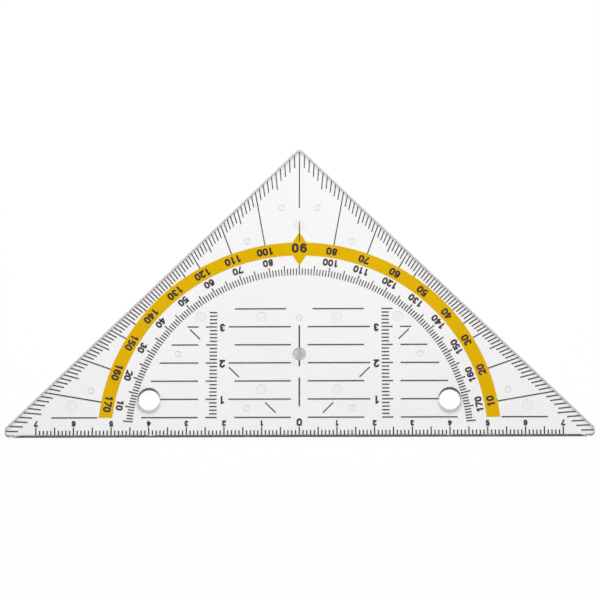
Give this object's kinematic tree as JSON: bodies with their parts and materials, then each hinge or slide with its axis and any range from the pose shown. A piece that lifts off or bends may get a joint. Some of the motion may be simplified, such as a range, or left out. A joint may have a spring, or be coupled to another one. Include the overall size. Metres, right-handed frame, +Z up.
{
  "type": "geometry triangle",
  "caption": "Clear right-angled set square with a printed ruler, protractor band, parallel lines and height scales, and round holes for a clip-on grip.",
  "frame": {"origin": "zero point of the scales, by the middle of the hypotenuse, on the drawing surface that the feet stand on", "axes": "+X along the hypotenuse to the right, +Y to the right-angled corner, +Z up from the paper"},
  "size_m": [0.1568, 0.08, 0.0022],
  "materials": {
    "clear_plastic": "clear and glossy",
    "yellow_ink": "opaque ink film",
    "black_ink": "opaque ink film"
  },
  "bodies": {
    "root": {"plate": "clear_plastic", "protractor_band": "yellow_ink", "band_numbers": "black_ink", "leg_degree_marks": "black_ink", "inner_degree_marks": "black_ink", "inner_degree_numbers": "black_ink", "ruler_marks": "black_ink", "ruler_numbers": "black_ink", "parallel_lines": "black_ink", "left_height_marks": "black_ink", "right_height_marks": "black_ink", "height_numbers": "black_ink", "centre_line": "black_ink", "angle_dashes": "black_ink"}
  },
  "joints": []
}
